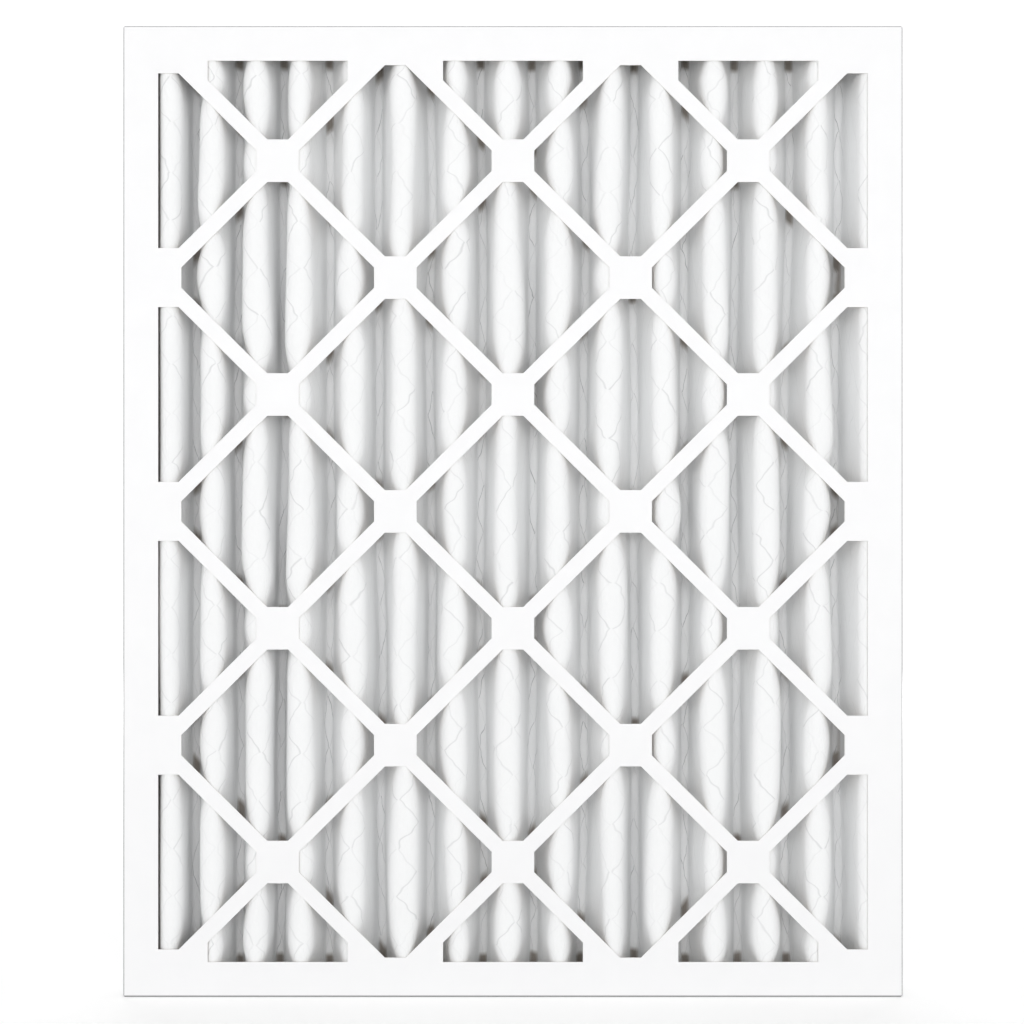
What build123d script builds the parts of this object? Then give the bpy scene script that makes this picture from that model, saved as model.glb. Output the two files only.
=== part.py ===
from build123d import *

import os
from math import asin, atan2, cos, hypot, pi, sin

# A pleated panel air filter: one pleated pack of non-woven media on expanded metal, held
# between two die-cut trays of coated board, one nested in the other.
# X runs across the width, Y from the upstream face to the downstream face, and Z is up.
# The origin is the middle of the bottom edge. Sizes are in millimetres.

# Overall size of the frame
frame_width = 498.5
frame_height = 621.0
frame_depth = 44.5

# Board trays
board = 0.7                    # thickness of the coated board
fold_radius = 1.2              # outside of the folds between a face and its walls
corner_inside_radius = 0.8     # upright corners between two walls
tab_length = 30.0              # glue tabs at the four corners of the front tray
tab_taper = 6.0                # corners cut off the free end of each tab
corner_slit = 0.3              # cut between a side wall and its neighbour
nest_clearance = 0.1           # between two layers of board

# Windows die-cut in both faces
border = 22.5                  # board left round the windows
columns = 3                    # half steps of the lattice from its middle to the sides
rows = 4                       # half steps of the lattice from its middle to the ends
side_node_inset = 1.2          # centres of the side nodes, inside the window edge
end_node_outset = 10.8         # centres of the end nodes, outside the window edge
strip_width = 9.9              # diagonal strips
node_size = 27.2               # square pads where two strips cross
end_window_width = 89.4        # windows cut short by the top and bottom borders
side_window_height = 111.7     # windows cut short by the side borders

# Pleated pack
media_thickness = 2.2
mesh_thickness = 0.8
tip_inside_radius = 3.0        # tightest radius of the folded laminate
tip_clearance = 0.2            # between the pleat tips and the board faces
pleat_count = 15
first_tip_inset = 26.3         # from the left inner wall to the first pleat tip
last_tip_inset = 19.0          # from the last pleat tip to the right inner wall
crowded_count = 3              # pleats at the left that were gathered tighter
crowded_pitch = 28.2
end_tab_length = 12.0          # end of the media turned flat against each side wall
end_tab_setback = 1.0          # from the pleat tips to the edge of that tab

# Openings of the expanded metal
mesh_cells = 3                 # openings along a pleat
mesh_strand = 3.0              # metal left between two openings

# Adhesive
bead_thickness = 1.0
bead_setback = 1.0             # from the board faces to the beads along the top and bottom

# Sizes that follow
corner_outside_radius = corner_inside_radius + board
middle = frame_height / 2
front_plane = -frame_depth / 2
rear_plane = frame_depth / 2

window_width = frame_width - 2 * border
window_height = frame_height - 2 * border
step_x = (window_width / 2 - side_node_inset) / columns
step_z = (window_height / 2 + end_node_outset) / rows

rear_width = frame_width - 2 * (2 * board + nest_clearance)
rear_height = frame_height - 2 * (board + nest_clearance)
rear_depth = frame_depth - board - nest_clearance
inner_width = rear_width - 2 * board
inner_height = rear_height - 2 * board

laminate = media_thickness + mesh_thickness
tip_radius = tip_inside_radius + laminate / 2
pack_width = inner_width - 2 * bead_thickness
pack_height = inner_height - 2 * bead_thickness
front_tip = front_plane + board + tip_clearance
rear_tip = rear_plane - board - tip_clearance
front_centre = front_tip + tip_radius + laminate / 2
rear_centre = rear_tip - tip_radius - laminate / 2
left_tab_start = front_tip + end_tab_setback
right_tab_end = rear_tip - end_tab_setback
crowded_width = crowded_count * crowded_pitch
even_width = inner_width - first_tip_inset - last_tip_inset - crowded_width
pitch = even_width / (pleat_count - 1 - crowded_count)


def window(column, row):
    """Outline of the window whose centre is so many half steps from the middle of the face."""
    shrink = 1 - strip_width / 2 * hypot(step_x, step_z) / (step_x * step_z)
    reach_x = step_x * shrink
    reach_z = step_z * shrink
    diamond = Polygon((reach_x, 0), (0, reach_z), (-reach_x, 0), (0, -reach_z))
    width = 2 * step_x - node_size
    height = 2 * step_z - node_size
    if abs(row) == rows:
        width = end_window_width
    if abs(column) == columns:
        height = side_window_height
    cell = Pos(column * step_x, row * step_z) * (diamond & Rectangle(width, height))
    return cell & Rectangle(window_width, window_height)


def face_windows():
    """Cutters for every window of one face, from the plane Y = 0 through the board."""
    outlines = Sketch()
    for column in range(-columns, columns + 1):
        for row in range(-rows, rows + 1):
            in_corner = abs(column) == columns and abs(row) == rows
            if (column + row) % 2 == 0 and not in_corner:
                outlines += window(column, row)
    return extrude(Plane.XZ * outlines, amount=2 * board, both=True)


def rounded_block(width, height, depth, corner):
    """Block from Y = 0 to Y = depth with round upright corners."""
    open_end = Plane((0, depth, 0), x_dir=(1, 0, 0), z_dir=(0, -1, 0))
    return extrude(open_end * RectangleRounded(width, height, corner), amount=depth)


def folded_tray(width, height, depth):
    """Tray of board about Y: a face with windows, and four walls folded back from it.

    The folds are round outside and creased sharp inside.
    """
    outside = rounded_block(width, height, depth, corner_outside_radius)
    outside = fillet(outside.faces().sort_by(Axis.Y)[0].edges(), fold_radius)
    hollow = rounded_block(width - 2 * board, height - 2 * board, depth, corner_inside_radius)
    tray = outside - Pos(0, board, 0) * hollow - face_windows()
    slit_depth = depth - fold_radius
    slit = Box(2 * board, slit_depth, corner_slit, align=(Align.CENTER, Align.MAX, Align.MAX))
    for side in (-1, 1):
        for end in (-1, 1):
            slit_height = height / 2 - corner_outside_radius
            place = Pos(side * width / 2, depth, end * slit_height)
            tray -= place * (slit if end > 0 else mirror(slit, Plane.XY))
    return tray


def corner_tab():
    """Glue tab of a corner, in the plane X = 0, hanging from the end wall at Z = 0."""
    near = fold_radius
    far = frame_depth - board
    outline = Polygon(
        (near, 0),
        (far, 0),
        (far, tab_taper - tab_length),
        (far - tab_taper, -tab_length),
        (near + tab_taper, -tab_length),
        (near, tab_taper - tab_length),
        align=None,
    )
    return extrude(Plane.YZ * outline, amount=board)


def front_frame():
    """Outer tray. Its corner tabs lie between its own side walls and the inner tray."""
    tray = folded_tray(frame_width, frame_height, frame_depth)
    tab = Pos(board - frame_width / 2, 0, frame_height / 2 - board) * corner_tab()
    for right in (False, True):
        for low in (False, True):
            placed = mirror(tab, Plane.YZ) if right else tab
            placed = mirror(placed, Plane.XY) if low else placed
            tray += placed
    return Pos(0, front_plane, middle) * tray


def rear_frame():
    """Inner tray, turned to face downstream, with its walls inside those of the outer tray."""
    tray = Rot(0, 0, 180) * folded_tray(rear_width, rear_height, rear_depth)
    return Pos(0, rear_plane, middle) * tray


def pleat_bends():
    """Centre and turning sense of each bend of the pack, from the left wall to the right.

    The sense is 1 where the fold turns round a point to the right of its run, and -1 to the left.
    """
    wall_run = pack_width / 2 - laminate / 2
    tip_x = first_tip_inset - inner_width / 2
    bends = [
        (tip_radius - wall_run, left_tab_start + end_tab_length, 1),
        (tip_x - crowded_pitch / 2, rear_centre, 1),
    ]
    for pleat in range(pleat_count):
        bends.append((tip_x, front_centre, -1))
        step = crowded_pitch if pleat < crowded_count else pitch
        if pleat < pleat_count - 1:
            bends.append((tip_x + step / 2, rear_centre, 1))
        tip_x += step
    bends.append((wall_run - tip_radius, right_tab_end - end_tab_length, -1))
    return bends


def run_directions(bends):
    """Heading of each straight run: along the left wall, tangent to each pair of bends, and out."""
    headings = [pi / 2]
    for (x0, y0, sense0), (x1, y1, sense1) in zip(bends, bends[1:]):
        lean = asin((sense1 - sense0) * tip_radius / hypot(x1 - x0, y1 - y0))
        headings.append(atan2(y1 - y0, x1 - x0) + lean)
    headings.append(pi / 2)
    return headings


def beside(bend, heading, shift):
    """Point of a bend where its run has this heading, shifted towards the upstream side."""
    x, y, sense = bend
    reach = sense * tip_radius - shift
    return (x - reach * sin(heading), y + reach * cos(heading))


def pleat_line(shift):
    """The folded line of the pack, moved by a distance towards the upstream side."""
    bends = pleat_bends()
    headings = run_directions(bends)
    start = (beside(bends[0], headings[0], shift)[0], left_tab_start)
    edges = []
    for bend, heading_in, heading_out in zip(bends, headings, headings[1:]):
        arc_start = beside(bend, heading_in, shift)
        arc_end = beside(bend, heading_out, shift)
        sense = bend[2]
        turn = (sense * (heading_in - heading_out)) % (2 * pi)
        arc_middle = beside(bend, heading_in - sense * turn / 2, shift)
        edges.append(Line(start, arc_start))
        edges.append(ThreePointArc(arc_start, arc_middle, arc_end))
        start = arc_end
    edges.append(Line(start, (start[0], right_tab_end)))
    return edges


def pleated_layer(upstream, downstream):
    """Layer of the pack between two lines, both given as shifts from its middle line."""
    near = pleat_line(upstream)
    far = pleat_line(downstream)
    left_end = Line(far[0] @ 0, near[0] @ 0)
    right_end = Line(near[-1] @ 1, far[-1] @ 1)
    outline = make_face(near + [right_end] + far + [left_end])
    return Pos(0, 0, middle) * extrude(outline, amount=pack_height / 2, both=True)


def pleated_media():
    """Non-woven media, one continuous sheet folded into every pleat."""
    return pleated_layer(laminate / 2, mesh_thickness - laminate / 2)


def mesh_opening(bend, heading, length, row_middle):
    """Cutter for one opening, square to the run that leaves a bend with this heading."""
    x, y = beside(bend, heading, (mesh_thickness - laminate) / 2)
    centre = (x + cos(heading) * length / 2, y + sin(heading) * length / 2, row_middle)
    plane = Plane(centre, x_dir=(cos(heading), sin(heading), 0), z_dir=(sin(heading), -cos(heading), 0))
    half_run = length / 2
    half_cell = (pack_height / mesh_cells - mesh_strand) / 2
    diamond = Polygon((half_run, 0), (0, half_cell), (-half_run, 0), (0, -half_cell))
    return extrude(plane * diamond, amount=mesh_thickness, both=True)


def support_grid():
    """Expanded metal bonded to the downstream side of the media and folded with it.

    Its openings are drawn larger and fewer than the metal's own, and stagger from run to run.
    """
    sheet = pleated_layer(mesh_thickness - laminate / 2, -laminate / 2)
    bends = pleat_bends()
    headings = run_directions(bends)
    cell = pack_height / mesh_cells
    cutters = []
    for index in range(1, len(bends) - 2):
        x0, y0, sense0 = bends[index]
        x1, y1, sense1 = bends[index + 1]
        length = (hypot(x1 - x0, y1 - y0) ** 2 - ((sense1 - sense0) * tip_radius) ** 2) ** 0.5
        staggered = index % 2
        for row in range(mesh_cells - staggered):
            row_middle = middle + (row - (mesh_cells - 1 - staggered) / 2) * cell
            cutters.append(mesh_opening(bends[index], headings[index + 1], length, row_middle))
    return sheet - cutters


def end_bead(height):
    """Adhesive between the pleat ends and the top or bottom wall, centred on a height."""
    length = inner_width - 2 * corner_inside_radius
    depth = frame_depth - 2 * (board + bead_setback)
    return Pos(0, 0, height) * Box(length, depth, bead_thickness)


def side_bead(x, tab_start):
    """Adhesive between an end tab of the media and a side wall."""
    stand = (Align.CENTER, Align.MIN, Align.CENTER)
    bead = Box(bead_thickness, end_tab_length, pack_height, align=stand)
    return Pos(x, tab_start, middle) * bead


end_bead_offset = (inner_height - bead_thickness) / 2
side_bead_offset = (inner_width - bead_thickness) / 2

pieces = {
    "front_frame": front_frame(),
    "rear_frame": rear_frame(),
    "pleated_media": pleated_media(),
    "support_grid": support_grid(),
    "top_seal_bead": end_bead(middle + end_bead_offset),
    "bottom_seal_bead": end_bead(middle - end_bead_offset),
    "left_seal_bead": side_bead(-side_bead_offset, left_tab_start),
    "right_seal_bead": side_bead(side_bead_offset, right_tab_end - end_tab_length),
}

os.makedirs("parts", exist_ok=True)
for name, piece in pieces.items():
    export_step(piece, f"parts/{name}.step")
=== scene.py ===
from math import asin, atan2, cos, hypot, pi, sin

import bpy
import numpy as np
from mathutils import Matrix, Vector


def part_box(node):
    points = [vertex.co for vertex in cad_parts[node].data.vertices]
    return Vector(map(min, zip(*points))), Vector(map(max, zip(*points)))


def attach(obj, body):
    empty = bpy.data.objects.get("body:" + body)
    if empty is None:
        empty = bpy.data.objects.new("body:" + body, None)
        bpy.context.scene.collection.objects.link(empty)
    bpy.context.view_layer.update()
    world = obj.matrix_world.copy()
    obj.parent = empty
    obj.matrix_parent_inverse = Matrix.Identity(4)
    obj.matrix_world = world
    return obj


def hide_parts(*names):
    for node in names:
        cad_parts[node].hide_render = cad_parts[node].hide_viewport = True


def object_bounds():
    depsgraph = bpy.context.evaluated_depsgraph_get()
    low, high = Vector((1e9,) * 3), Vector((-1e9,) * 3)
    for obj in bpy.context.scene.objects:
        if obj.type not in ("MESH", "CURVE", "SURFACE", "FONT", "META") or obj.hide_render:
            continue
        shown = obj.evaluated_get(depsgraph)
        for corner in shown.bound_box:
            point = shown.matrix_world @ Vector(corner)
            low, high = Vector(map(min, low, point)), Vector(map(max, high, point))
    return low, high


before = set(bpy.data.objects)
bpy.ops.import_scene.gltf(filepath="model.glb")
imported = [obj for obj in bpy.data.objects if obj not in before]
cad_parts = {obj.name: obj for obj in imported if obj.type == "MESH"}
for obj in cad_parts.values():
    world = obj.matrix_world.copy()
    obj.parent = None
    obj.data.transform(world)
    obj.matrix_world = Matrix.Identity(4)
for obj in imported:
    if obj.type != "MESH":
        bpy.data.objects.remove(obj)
cad_low, cad_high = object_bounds()


# ---- Camera and room ----
# A white sweep of card under and behind the filter and a tent of light all round it. Two wide soft
# lamps stand before and behind it, and the camera looks straight at the upstream face.

width = cad_high.x - cad_low.x
height = cad_high.z - cad_low.z
front_plane = cad_low.y
rear_plane = cad_high.y

camera_distance = 1.70         # from the upstream face
picture_width = 0.65440        # width of the view at the upstream face
camera_across = -0.0006        # from the middle of the face
camera_up = -0.0004
sensor = 36.0
white = (1.0, 1.0, 1.0, 1)
camera = bpy.data.objects.new("camera", bpy.data.cameras.new("camera"))
camera.data.sensor_width = sensor
camera.data.lens = sensor * camera_distance / picture_width
camera.location = (camera_across, front_plane - camera_distance, height / 2 + camera_up)
camera.rotation_euler = (pi / 2, 0, 0)
bpy.context.collection.objects.link(camera)
bpy.context.scene.camera = camera
bpy.context.scene.view_settings.view_transform = "Standard"


class Value:
    """What a shader socket gives over a surface. Sums written with it add Math nodes."""

    def __init__(self, socket):
        self.socket = socket

    def maths(self, operation, *terms):
        node = self.socket.id_data.nodes.new("ShaderNodeMath")
        node.operation = operation
        for place, term in zip(node.inputs, terms):
            feed(place, term)
        return Value(node.outputs[0])

    def __add__(self, other):
        return self.maths("ADD", self, other)

    def __sub__(self, other):
        return self.maths("SUBTRACT", self, other)

    def __rsub__(self, other):
        return self.maths("SUBTRACT", other, self)

    def __mul__(self, other):
        return self.maths("MULTIPLY", self, other)

    def __truediv__(self, other):
        return self.maths("DIVIDE", self, other)

    def __abs__(self):
        return self.maths("ABSOLUTE", self)

    def __gt__(self, other):
        return self.maths("GREATER_THAN", self, other)

    __radd__ = __add__
    __rmul__ = __mul__

    def other(self, output):
        """Another output of the same node."""
        return Value(self.socket.node.outputs[output])

    def least(self, other):
        return self.maths("MINIMUM", self, other)

    def most(self, other):
        return self.maths("MAXIMUM", self, other)

    def whole(self):
        return self.maths("FLOOR", self)

    def wave(self):
        """Triangle wave between 0 and 1 that repeats every 2."""
        return self.maths("PINGPONG", self, 1.0)

    def ramp(self, low, high):
        """0 below low, 1 above high, and an even slope between."""
        return ((self - low) / (high - low)).least(1.0).most(0.0)


def feed(place, term):
    """Links a Value to a socket, or sets the socket to a plain number or colour."""
    if isinstance(term, Value):
        place.id_data.links.new(term.socket, place)
    else:
        place.default_value = term


class Tree:
    """The nodes of a material or of the world."""

    def __init__(self, tree):
        self.tree = tree

    def node(self, kind, settings=None, inputs=None, output=0):
        made = self.tree.nodes.new(kind)
        for name, setting in (settings or {}).items():
            setattr(made, name, setting)
        for name, term in (inputs or {}).items():
            feed(made.inputs[name], term)
        return Value(made.outputs[output])

    def looked_at(self):
        """1 for what the camera, a mirror or clear material sees, and 0 for light on its way."""
        ray = self.node("ShaderNodeLightPath", output="Is Camera Ray")
        return ray.most(ray.other("Is Glossy Ray")).most(ray.other("Is Transmission Ray"))

    def end(self, name, factor, first, second):
        """Links the mix of two shaders to the last node of the tree."""
        mixed = self.node("ShaderNodeMixShader", inputs={0: factor, 1: first, 2: second})
        feed(self.tree.nodes[name].inputs["Surface"], mixed)


class Finish(Tree):
    """One material, and the shader that comes with it."""

    def __init__(self, name):
        self.material = bpy.data.materials.new(name)
        self.material.use_nodes = True
        super().__init__(self.material.node_tree)
        self.shader = self.tree.nodes["Principled BSDF"]

    def surface(self, values):
        for name, term in values.items():
            feed(self.shader.inputs[name], term)

    def position(self):
        """Place on the piece in metres, as three Values."""
        place = self.node("ShaderNodeTexCoord", output="Object")
        split = self.node("ShaderNodeSeparateXYZ", inputs={"Vector": place})
        return [split, split.other("Y"), split.other("Z")]

    def noise(self, scale, detail, roughness, stretch=(1.0, 1.0, 1.0)):
        """Noise from 0 to 1 over the piece, at so many waves a metre."""
        place = self.node("ShaderNodeTexCoord", output="Object")
        spread = self.node("ShaderNodeMapping", inputs={"Vector": place, "Scale": stretch})
        return self.node(
            "ShaderNodeTexNoise",
            inputs={"Vector": spread, "Scale": scale, "Detail": detail, "Roughness": roughness},
        )

    def mix(self, factor, first, second):
        """Colour between two colours."""
        return self.node("ShaderNodeMix", {"data_type": "RGBA"}, {0: factor, 6: first, 7: second}, 2)

    def bump(self, heights, distance):
        return self.node("ShaderNodeBump", inputs={"Height": heights, "Distance": distance, "Strength": 1.0})


def put(name, mesh, finish, smooth=True):
    """Object from a mesh and a material."""
    piece = bpy.data.objects.new(name, mesh)
    bpy.context.collection.objects.link(piece)
    mesh.materials.append(finish.material)
    for face in mesh.polygons:
        face.use_smooth = smooth
    return piece


sweep_half_width = 7.0
sweep_front = -7.0             # behind the camera
sweep_back = 5.0
sweep_top = 6.0
sweep_bend = 1.5               # radius between the floor and the backdrop
bend_steps = 24
sweep_line = [(sweep_front, 0.0)]
for step in range(bend_steps + 1):
    angle = pi / 2 * step / bend_steps
    sweep_line.append((sweep_back - sweep_bend + sweep_bend * sin(angle), sweep_bend * (1 - cos(angle))))
sweep_line.append((sweep_back, sweep_top))
sweep_mesh = bpy.data.meshes.new("sweep")
sweep_points = [(x, y, z) for y, z in sweep_line for x in (-sweep_half_width, sweep_half_width)]
sweep_faces = [(2 * i, 2 * i + 1, 2 * i + 3, 2 * i + 2) for i in range(len(sweep_line) - 1)]
sweep_mesh.from_pydata(sweep_points, [], sweep_faces)

card_grey = (0.88, 0.88, 0.88, 1)
full_lift = 0.66
near_lift = 0.36               # lower round the object, so that its soft shadow stays below white
near_square = 0.8              # square of the distance from the object up to which it is lower
far_square = 6.0               # and from which it is full
card = Finish("white_card")
card.surface({"Base Color": card_grey, "Roughness": 0.9, "Specular IOR Level": 0.0})
plain_card = Value(card.shader.outputs[0])
lift = card.node("ShaderNodeEmission", inputs={"Color": white, "Strength": full_lift})
lifted_card = card.node("ShaderNodeAddShader", inputs={0: plain_card, 1: lift})
x, y = card.position()[:2]
far_off = (x * x + y * y).ramp(near_square, far_square)
lift_share = near_lift / full_lift + (1 - near_lift / full_lift) * far_off
card.end("Material Output", card.looked_at() * lift_share, plain_card, lifted_card)
sweep = put("sweep", sweep_mesh, card)

tent_strength = 0.50
world = bpy.data.worlds.new("tent")
bpy.context.scene.world = world
world.use_nodes = True
tent = Tree(world.node_tree)
tent_light = tent.tree.nodes["Background"]
feed(tent_light.inputs["Color"], white)
feed(tent_light.inputs["Strength"], tent_strength)
tent_seen = tent.node("ShaderNodeBackground", inputs={"Color": white, "Strength": 1.0})
tent.end("World Output", tent.looked_at(), Value(tent_light.outputs[0]), tent_seen)


def soft_lamp(name, place, size, watts):
    """Lamp of a width and a height at a place, turned to face the middle of the filter."""
    lamp = bpy.data.objects.new(name, bpy.data.lights.new(name, "AREA"))
    lamp.data.shape = "RECTANGLE"
    lamp.data.size, lamp.data.size_y = size
    lamp.data.energy = watts
    lamp.location = place
    away = np.array(place) - np.array((0.0, 0.0, height / 2))
    lamp.rotation_euler = (atan2(hypot(away[0], away[1]), away[2]), 0, atan2(away[0], -away[1]))
    bpy.context.collection.objects.link(lamp)


soft_lamp("front_lamp", place=(0.0, -3.2, 0.5), size=(4.6, 0.9), watts=61.0)
soft_lamp("rear_lamp", place=(0.0, 3.2, 1.2), size=(3.6, 1.2), watts=60.0)


# ---- Board frame ----
# Two trays of white clay-coated board, die-cut with the same lattice of windows on both faces.
# Each tray's walls are folded back at a scored line, and the inner tray slides into the outer one.

board = 0.0007
coating = 0.00009
rim_skin = 0.75 * board        # depth of the coating's look at the folded edges
lining_depth = 0.9 * board     # deeper than this is the inside of a tray
window_edge = 0.018            # nearer the middle than this, an edge is a cut edge and not a fold
# painted shade along the folded edges, partly the grey board showing through crazed coating
fold_shade_reach = (0.0005, 0.0012)
# painted contact shadow along the bottom edge, where the tray stands on the floor
bottom_shadow_reach = (0.0005, 0.0016)
bottom_shadow_share = 0.8
paper_relief = 0.00004
mottle_scale = 55.0            # waves a metre
paper_scale = 2600.0
crazing_scale = 900.0
blotch_scale = 300.0
uncrazed_fold_shade = 0.65         # how much of the painted fold shade shows where the coating isn't crazed
coat_roughness = 0.42
raw_roughness = 0.35           # what the raw board has above the coating
mottle_roughness = 0.06
gloss = 0.35
white_coat = (0.93, 0.93, 0.935, 1)
shaded_coat = (0.91, 0.91, 0.918, 1)
# grey of the painted fold shade, partly the grey board under crazed coating
fold_shade_and_crazing_grey = (0.33, 0.33, 0.34, 1)
# colour of the painted contact shadow along the bottom edge
bottom_shadow_grey = (0.20, 0.20, 0.205, 1)
kraft = (0.42, 0.31, 0.205, 1)
pale_kraft = (0.50, 0.39, 0.27, 1)
core_grey = (0.70, 0.68, 0.65, 1)


def coated_board(name, tray_width, tray_height, face, facing):
    """White outside, brown inside and grey-brown at the cuts, for a tray whose face is at Y = face."""
    finish = Finish(name)
    x, y, z = finish.position()
    from_side = tray_width / 2 - abs(x)
    from_end = tray_height / 2 - abs(z - height / 2)
    from_face = (y - face) * facing
    from_edge = from_side.least(from_end)
    inset = from_edge.least(from_face)
    in_windows = from_edge > window_edge
    skin = in_windows * (coating - rim_skin) + rim_skin
    inside = inset > skin
    lining = (inset > lining_depth) * (from_face > lining_depth)

    mottle = finish.noise(mottle_scale, 2.0, 0.6)
    fibre = finish.noise(paper_scale, 1.0, 0.6)
    shade = finish.mix(mottle.ramp(0.35, 0.75) * 0.5, white_coat, shaded_coat)
    to_fold = (from_side + from_face).least(from_end + from_face).least(from_side + from_end)
    crazing = finish.noise(crazing_scale, 2.0, 0.6).ramp(0.2, 0.7)
    # Painted shade along the folded edges, stronger where the coating is crazed and the grey board shows
    fold_shade_and_crazing = (1 - to_fold.ramp(*fold_shade_reach)) * (uncrazed_fold_shade + (1 - uncrazed_fold_shade) * crazing)
    # Painted shadow: the bottom edge darkened where it meets the floor
    bottom_shadow = (1 - (z + from_face).ramp(*bottom_shadow_reach)) * bottom_shadow_share
    coat = finish.mix(bottom_shadow, finish.mix(fold_shade_and_crazing, shade, fold_shade_and_crazing_grey), bottom_shadow_grey)
    blotches = finish.noise(blotch_scale, 2.0, 0.7).ramp(0.3, 0.8)
    brown = finish.mix(blotches * 0.6, kraft, pale_kraft)
    raw = finish.mix(lining, core_grey, brown)
    finish.surface(
        {
            "Base Color": finish.mix(inside, coat, raw),
            "Roughness": coat_roughness + raw_roughness * inside + mottle_roughness * mottle,
            "Normal": finish.bump(fibre, paper_relief),
            "Specular IOR Level": gloss,
        }
    )
    return finish


def dress(node, finish):
    """Gives a CAD piece its material."""
    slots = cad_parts[node].data.materials
    slots.clear()
    slots.append(finish.material)


rear_low, rear_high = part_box("rear_frame")
dress("front_frame", coated_board("coated_board_outer", width, height, front_plane, 1))
dress(
    "rear_frame",
    coated_board(
        "coated_board_inner", rear_high.x - rear_low.x, rear_high.z - rear_low.z, rear_plane, -1
    ),
)


# ---- Pleated media ----
# One long sheet of white non-woven fibre, folded over and over into upright pleats. Its tips are
# glued to the strips of both lattices, so each pleat is held there and swells in the windows.

media_thickness = 0.0022
mesh_room = 0.0008             # left behind the media for the expanded metal
laminate = media_thickness + mesh_room
tip_radius = 0.0030 + laminate / 2
tip_clearance = 0.0002
pleat_count = 15
first_tip_inset = 0.0263
last_tip_inset = 0.0190
crowded_count = 3
crowded_pitch = 0.0282
end_tab = 0.012
end_tab_setback = 0.001
bead = 0.001
inner_width = rear_high.x - rear_low.x - 2 * board
pack_width = inner_width - 2 * bead
media_low, media_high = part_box("pleated_media")

front_tip = front_plane + board + tip_clearance
rear_tip = rear_plane - board - tip_clearance
front_centre = front_tip + tip_radius + laminate / 2
rear_centre = rear_tip - tip_radius - laminate / 2
tab_start = front_tip + end_tab_setback
tab_end = rear_tip - end_tab_setback
even_width = inner_width - first_tip_inset - last_tip_inset - crowded_count * crowded_pitch
pitch = even_width / (pleat_count - 1 - crowded_count)


def pleat_bends():
    """Centre and turning sense of every bend, from the left wall to the right one."""
    wall_run = pack_width / 2 - laminate / 2
    tip = first_tip_inset - inner_width / 2
    bends = [(tip_radius - wall_run, tab_start + end_tab, 1), (tip - crowded_pitch / 2, rear_centre, 1)]
    for pleat in range(pleat_count):
        bends.append((tip, front_centre, -1))
        step = crowded_pitch if pleat < crowded_count else pitch
        if pleat < pleat_count - 1:
            bends.append((tip + step / 2, rear_centre, 1))
        tip += step
    bends.append((wall_run - tip_radius, tab_end - end_tab, -1))
    return bends


bends = pleat_bends()
headings = [pi / 2]
for (x0, y0, sense0), (x1, y1, sense1) in zip(bends, bends[1:]):
    lean = asin((sense1 - sense0) * tip_radius / hypot(x1 - x0, y1 - y0))
    headings.append(atan2(y1 - y0, x1 - x0) + lean)
headings.append(pi / 2)

# Samples of the pleat line: place, heading, which bend it belongs to and how far on to the next.
arc_steps = 8
run_steps = 4
samples = []


def sample_point(bend, heading):
    x, y, sense = bend
    return np.array((x - sense * tip_radius * sin(heading), y + sense * tip_radius * cos(heading)))


def sample_run(start, end, heading, index):
    for step in range(run_steps):
        share = step / run_steps
        samples.append((*(start + (end - start) * share), heading, index + share))


run_start = np.array((sample_point(bends[0], headings[0])[0], tab_start))
for index, bend in enumerate(bends):
    turn = bend[2] * ((bend[2] * (headings[index] - headings[index + 1])) % (2 * pi))
    sample_run(run_start, sample_point(bend, headings[index]), headings[index], index - 1)
    for step in range(arc_steps):
        heading = headings[index] - turn * step / arc_steps
        samples.append((*sample_point(bend, heading), heading, float(index)))
    headings[index + 1] = headings[index] - turn
    run_start = sample_point(bend, headings[index + 1])
samples.append((*run_start, headings[-1], float(len(bends) - 1)))
samples.append((run_start[0], tab_end, headings[-1], float(len(bends) - 1)))
line = np.array(samples)
length_along = np.concatenate([[0.0], np.cumsum(np.hypot(np.diff(line[:, 0]), np.diff(line[:, 1])))])
developed = float(length_along[-1])

chance = np.random.default_rng(11)
sway_count = 5                 # waves that are added up for the wandering
slowest_sway = 0.9             # waves over the height, for the slowest of them
end_sway_share = 0.2           # the ends of the sheet wander less
sway_size = 0.0011
sway_phase = chance.uniform(0, 2 * pi, (len(bends), sway_count))
sway_weight = chance.normal(0, 1, (len(bends), sway_count)) / (1 + np.arange(sway_count))
sway_weight[[0, 1, -2, -1]] *= end_sway_share
swell_phase = chance.uniform(0, 2 * pi, (len(bends), sway_count))


def along_height(table_phase, table_weight, place, z):
    """Slow wandering of each bend over the height, blended along the runs between bends."""
    level = (z - media_low.z) / (media_high.z - media_low.z)
    low = np.clip(np.floor(place).astype(int), 0, len(bends) - 1)
    high = np.minimum(low + 1, len(bends) - 1)
    share = place - low
    share = np.clip(share, 0, 1) ** 2 * (3 - 2 * np.clip(share, 0, 1))
    total = 0.0
    for k in range(sway_count):
        for bend_index, part in ((low, 1 - share), (high, share)):
            swing = np.sin(2 * pi * (k + 1) * slowest_sway * level + table_phase[bend_index, k])
            total = total + part * table_weight[bend_index, k] * swing
    return total


def pack_point(along, shift, z):
    """Place of points of the pack, from how far along the sheet, how far upstream and how high."""
    x = np.interp(along, length_along, line[:, 0])
    y = np.interp(along, length_along, line[:, 1])
    heading = np.interp(along, length_along, line[:, 2])
    place = np.interp(along, length_along, line[:, 3])
    sway = sway_size * along_height(sway_phase, sway_weight, place, z)
    return np.stack([x + sway + shift * np.sin(heading), y - shift * np.cos(heading), z + 0 * x], axis=-1)


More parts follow.
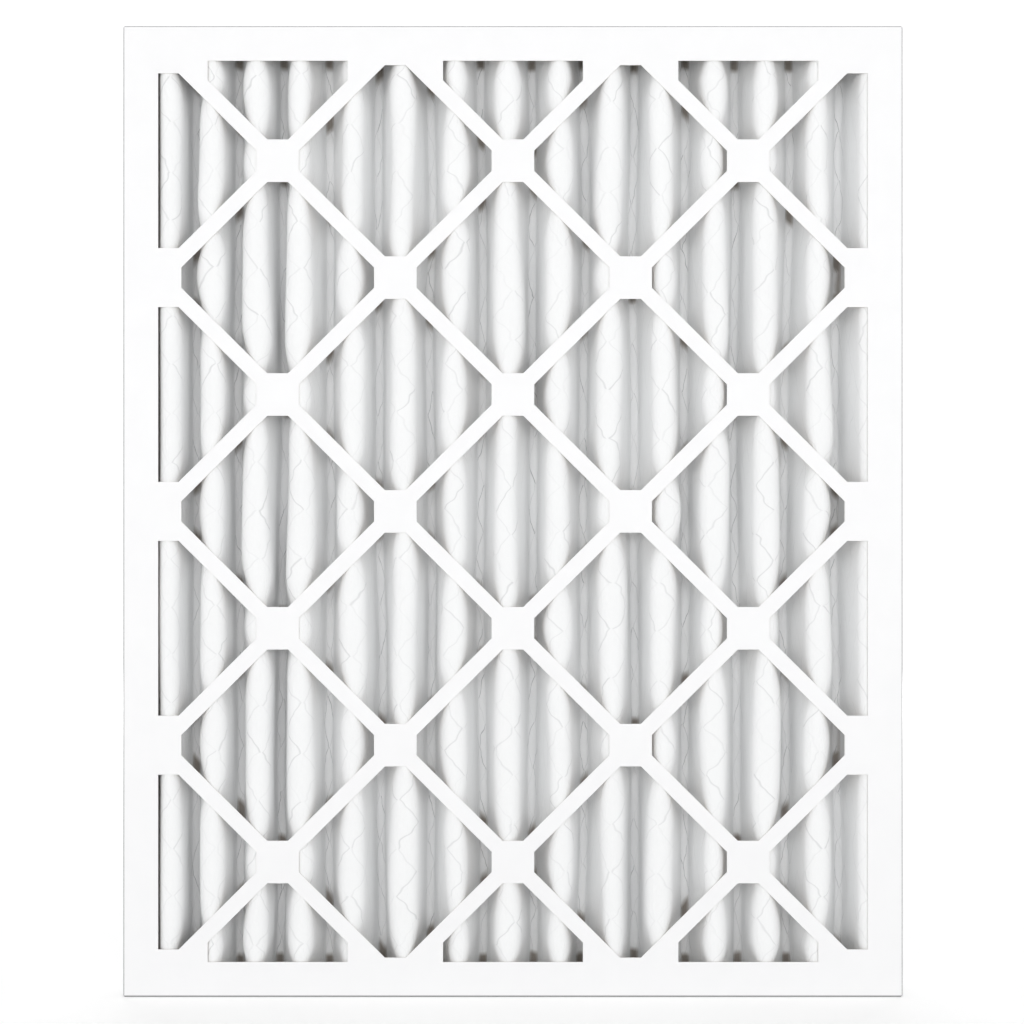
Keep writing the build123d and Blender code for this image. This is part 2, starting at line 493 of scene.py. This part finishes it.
columns, rows = 3, 4
border = 0.0225
strip_width = 0.0099
node_size = 0.0272
end_window_width = 0.0894
side_window_height = 0.1117
window_half_width = width / 2 - border
window_half_height = height / 2 - border
last_node_inset = 0.0012       # from the border's edge to the middle of the last node across
last_node_overrun = 0.0108     # and past the border's edge upward
step_x = (window_half_width - last_node_inset) / columns
step_z = (window_half_height + last_node_overrun) / rows
lattice_slope = step_x * step_z / hypot(step_x, step_z)


def room_in_window(x, z):
    """Distance from a point of the face to the nearest board, or 0 behind the board."""
    shrink = 1 - strip_width / 2 / lattice_slope
    reach_x = step_x * shrink
    reach_z = step_z * shrink
    slope = reach_x * reach_z / hypot(reach_x, reach_z)
    in_frame = np.minimum(window_half_width - np.abs(x), window_half_height - np.abs(z - height / 2))
    room = np.zeros_like(x)
    for column in range(-columns, columns + 1):
        for row in range(-rows, rows + 1):
            if (column + row) % 2:
                continue
            half_width = end_window_width / 2 if abs(row) == rows else step_x - node_size / 2
            half_height = side_window_height / 2 if abs(column) == columns else step_z - node_size / 2
            dx = np.abs(x - column * step_x)
            dz = np.abs(z - height / 2 - row * step_z)
            inside = np.minimum((1 - dx / reach_x - dz / reach_z) * slope, half_width - dx)
            inside = np.minimum(np.minimum(inside, half_height - dz), in_frame)
            room = np.maximum(room, inside)
    return room


swell = 0.0027                 # how far a flank stands out in the middle of a window
swell_reach = 0.015            # distance from the board at which the swelling is full
swell_start = 1.25             # the swelling at the tips, before it is held to 1
swell_fall = 1.35              # and what it loses from the front tips to the rear ones
forward_share = 0.25           # of the swelling sideways
loft_spread = 0.22
loft_weight = np.full_like(sway_weight, 0.6)
board_gap = 0.00002            # the ridges are stopped this far behind the front board
media_rows = 120


def media_side(shift, swelling):
    """Grid of points over one side of the media, rows up the height and columns along the sheet."""
    levels = np.linspace(media_low.z, media_high.z, media_rows + 1)
    along, z = np.meshgrid(length_along, levels)
    place = np.interp(along, length_along, line[:, 3])
    points = pack_point(along, shift, z)
    if swelling:
        depth = (points[..., 1] - front_tip) / (rear_tip - front_tip)
        near_tip = np.clip(swell_start - swell_fall * depth, 0, 1)
        open_share = np.clip(room_in_window(points[..., 0], z) / swell_reach, 0, 1)
        open_share = open_share * (2 - open_share)
        loft = 1 + loft_spread * along_height(swell_phase, loft_weight, place, z)
        outward = near_tip * swell * loft * open_share
        heading = np.interp(along, length_along, line[:, 2])
        sideways = np.sin(heading)
        forward = -np.cos(heading)
        points[..., 0] += outward * sideways
        points[..., 1] += outward * forward * forward_share
        points[..., 1] = np.maximum(points[..., 1], front_plane + board + board_gap)
    return points


def sheet_mesh(name, upstream, downstream):
    """Closed mesh between two grids of points, with the grid's own coordinates as a UV map.

    The downstream side has them below zero.
    """
    rows_up, across = upstream.shape[:2]
    points = np.concatenate([upstream.reshape(-1, 3), downstream.reshape(-1, 3)])
    index = np.arange(rows_up * across).reshape(rows_up, across)
    back = index + rows_up * across
    front_faces = np.stack([index[:-1, :-1], index[:-1, 1:], index[1:, 1:], index[1:, :-1]], axis=-1)
    back_faces = np.stack([back[:-1, :-1], back[1:, :-1], back[1:, 1:], back[:-1, 1:]], axis=-1)
    rims = [
        np.stack([index[0, 1:], index[0, :-1], back[0, :-1], back[0, 1:]], axis=-1),
        np.stack([index[-1, :-1], index[-1, 1:], back[-1, 1:], back[-1, :-1]], axis=-1),
        np.stack([index[:-1, 0], index[1:, 0], back[1:, 0], back[:-1, 0]], axis=-1),
        np.stack([index[1:, -1], index[:-1, -1], back[:-1, -1], back[1:, -1]], axis=-1),
    ]
    faces = np.concatenate([front_faces.reshape(-1, 4), back_faces.reshape(-1, 4), *rims])
    mesh = bpy.data.meshes.new(name)
    mesh.from_pydata(points.tolist(), [], faces.tolist())
    levels = np.linspace(0.0, media_high.z - media_low.z, rows_up)
    grid = np.stack(np.meshgrid(length_along, levels), axis=-1).reshape(-1, 2)
    laid_flat = mesh.uv_layers.new(name="laid_flat")
    laid_flat.data.foreach_set("uv", np.concatenate([grid, -grid])[faces.reshape(-1)].reshape(-1))
    return mesh


upstream_side = media_side(laminate / 2, True)
downstream_side = media_side(mesh_room - laminate / 2, False)
media_mesh = sheet_mesh("media", upstream_side, downstream_side)

long_way = 0.0309              # openings of the expanded metal, measured along the pleat
short_way = 0.0150
strand_width = 0.0011
wobble_scale = 95.0            # waves a metre
cloud_scale = 45.0
fleece_scale = 900.0
wobble_along = 0.005
wobble_up = 0.008
line_edge = (0.0001, 0.0005)
faintest_strand = 0.15
line_strength = 0.16
ridge_gain = 0.12
valley_gain = 0.55
ridge_reach = (-0.002, 0.004)  # from the centre of the front bends
valley_reach = (-0.006, 0.001)  # from the centre of the rear bends
# painted shade: dark brown in the valley bottoms behind the board strips, nodes and border
valley_shade_reach = (0.0005, 0.0028)  # from the centre of the rear bends
valley_shade_edge = (-0.001, 0.0025)
valley_shade_raggedness = 0.010
valley_shade_share = 0.85
fibre_relief = 0.0003
fleece_white = (0.95, 0.956, 0.958, 1)
fleece_shade = (0.925, 0.93, 0.934, 1)
fibre_grey = (0.82, 0.825, 0.83, 1)
line_grey = (0.34, 0.345, 0.36, 1)
# colour of the painted shade in the valley bottoms behind the board
valley_shade_brown = (0.24, 0.20, 0.165, 1)

media = Finish("non_woven_media")
flat = media.node("ShaderNodeUVMap", {"uv_map": "laid_flat"})
wobble = media.node(
    "ShaderNodeTexNoise", inputs={"Vector": flat, "Scale": wobble_scale, "Detail": 1.0}, output="Color"
)
wobble_red = media.node("ShaderNodeSeparateColor", inputs={"Color": wobble})
flat_x = media.node("ShaderNodeSeparateXYZ", inputs={"Vector": flat})
flat_y = flat_x.other("Y")
along_sheet = flat_x + (wobble_red - 0.5) * wobble_along
up_sheet = flat_y + (wobble_red.other("Green") - 0.5) * wobble_up
lane = along_sheet / (short_way / 2)
lane_number = lane.whole()
half_cell = up_sheet / (long_way / 2) + lane_number
zigzag = half_cell.wave() - 0.5
from_strand = abs(lane - lane_number - 0.5 - zigzag * (1 - 2 * strand_width / short_way)) * (short_way / 2)
strand_place = media.node("ShaderNodeCombineXYZ", inputs={"X": lane_number, "Y": half_cell.whole()})
strand_share = media.node("ShaderNodeTexWhiteNoise", {"noise_dimensions": "2D"}, {"Vector": strand_place})
strand_share = strand_share * strand_share * (1 - faintest_strand) + faintest_strand
shadow_line = (1 - from_strand.ramp(*line_edge)) * strand_share * (flat_y > 0.0)

x, y, z = media.position()
on_ridge = 1 - (y - front_centre).ramp(*ridge_reach)
in_valley = (y - rear_centre).ramp(*valley_reach)
across = x / step_x
up = (z - height / 2) / step_z
to_rising = 1 - (across - up).wave()
to_falling = 1 - (across + up).wave()
strip_reach = strip_width / 2 / lattice_slope
cloud = media.noise(cloud_scale, 3.0, 0.6, (1.0, 1.0, 0.45))
ragged = (cloud - 0.5) * valley_shade_raggedness
within_strip = (strip_reach - to_rising.least(to_falling)) * lattice_slope
within_node = (node_size / step_x - to_rising - to_falling) * (step_x / 2)
within_border = (abs(x) - window_half_width).most(abs(z - height / 2) - window_half_height)
within_board = within_strip.most(within_node).most(within_border)
# Painted shade in the valley bottoms behind the board, with a ragged edge
valley_shade = (within_board + ragged).ramp(*valley_shade_edge) * (y - rear_centre).ramp(*valley_shade_reach)
fibres = media.noise(fleece_scale, 1.0, 0.6, (1.0, 1.0, 0.3))
fleece = media.mix(cloud.ramp(0.3, 0.75) * 0.5, fleece_white, fleece_shade)
fleece = media.mix(fibres.ramp(0.45, 0.8) * 0.06, fleece, fibre_grey)
line_share = shadow_line * (line_strength + ridge_gain * on_ridge + valley_gain * in_valley)
lined = media.mix(line_share, fleece, line_grey)
media.surface(
    {
        "Base Color": media.mix(valley_shade * valley_shade_share, lined, valley_shade_brown),
        "Roughness": 0.9,
        "Specular IOR Level": 0.15,
        "Normal": media.bump(fibres, fibre_relief),
    }
)

pleated_media = put("media_sheet", media_mesh, media)
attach(pleated_media, "root")
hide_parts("pleated_media")


# ---- Expanded metal ----
# Slit and stretched steel sheet bonded to the downstream side of the media and folded with it,
# so that the pleats keep their shape. Its diamonds run the long way up the filter.

strand_thickness = 0.0005
bond_share = 0.12              # of half a diamond's length, where two strands lie side by side
swing = short_way / 4 - strand_width / 2
lanes = int(developed / (short_way / 2)) - 1
half_cells = int((media_high.z - media_low.z) / (long_way / 2))


def strand_levels():
    """Heights of a strand's rings, and its place between one side of its lane and the other."""
    levels = []
    for cell in range(half_cells + 1):
        base = cell * long_way / 2
        end = 1 if cell % 2 else -1
        levels.append((base - bond_share * long_way / 4, end))
        levels.append((base + bond_share * long_way / 4, end))
        if cell < half_cells:
            levels.append((base + long_way / 4, 0))
    top = media_high.z - media_low.z
    return np.array([(min(max(level, 0.0), top), side) for level, side in levels])


def expanded_metal():
    rings = strand_levels()
    corner_across = np.array((-0.5, 0.5, 0.5, -0.5)) * strand_width
    corner_shift = mesh_room - laminate / 2 - np.array((0.0, 0.0, 1.0, 1.0)) * strand_thickness
    all_points = []
    all_faces = []
    count = 0
    for lane_index in range(lanes):
        mirror = 1 if lane_index % 2 else -1
        centre = (lane_index + 1.0) * short_way / 2 + mirror * rings[:, 1] * swing
        along = centre[:, None] + corner_across
        z = np.broadcast_to(media_low.z + rings[:, :1], along.shape)
        points = pack_point(along, np.broadcast_to(corner_shift, along.shape), z)
        ring = count + np.arange(len(rings) * 4).reshape(-1, 4)
        turned = np.roll(ring, -1, axis=1)
        sides = np.stack([ring[:-1], turned[:-1], turned[1:], ring[1:]], axis=-1).reshape(-1, 4)
        all_faces += [sides, ring[:1, ::-1], ring[-1:]]
        all_points.append(points.reshape(-1, 3))
        count += len(rings) * 4
    mesh = bpy.data.meshes.new("expanded_metal")
    mesh.from_pydata(np.concatenate(all_points).tolist(), [], np.concatenate(all_faces).tolist())
    return mesh


zinc_light = (0.66, 0.67, 0.68, 1)
zinc_dark = (0.50, 0.51, 0.53, 1)
spangle_scale = 260.0
smear_scale = 700.0
zinc_roughness = 0.34
smear_roughness = 0.25
zinc_relief = 0.00004
steel = Finish("galvanised_steel")
spangle = steel.node(
    "ShaderNodeTexVoronoi",
    {"feature": "F1"},
    {"Vector": steel.node("ShaderNodeTexCoord", output="Object"), "Scale": spangle_scale},
    "Distance",
)
smear = steel.noise(smear_scale, 3.0, 0.6)
steel.surface(
    {
        "Base Color": steel.mix(spangle.ramp(0.0, 0.9), zinc_light, zinc_dark),
        "Metallic": 1.0,
        "Roughness": zinc_roughness + smear_roughness * smear,
        "Normal": steel.bump(smear, zinc_relief),
    }
)
support_grid = put("expanded_metal", expanded_metal(), steel, smooth=False)
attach(support_grid, "root")
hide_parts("support_grid")


# ---- Adhesive beads ----
# Cream hot-melt adhesive, run along the four walls before the pack is pressed in. It seals the
# pleat ends to the top and bottom and the media's end tabs to the sides.

cream = (0.80, 0.77, 0.66, 1)
pale_cream = (0.86, 0.84, 0.76, 1)
lump_relief = 0.0006
lump_scale = 160.0
bead_roughness = 0.38
lump_roughness = 0.2
adhesive = Finish("set_adhesive")
lumps = adhesive.noise(lump_scale, 3.0, 0.5)
adhesive.surface(
    {
        "Base Color": adhesive.mix(lumps, cream, pale_cream),
        "Roughness": bead_roughness + lump_roughness * lumps,
        "Normal": adhesive.bump(lumps, lump_relief),
    }
)
for bead_name in ("top_seal_bead", "bottom_seal_bead", "left_seal_bead", "right_seal_bead"):
    dress(bead_name, adhesive)
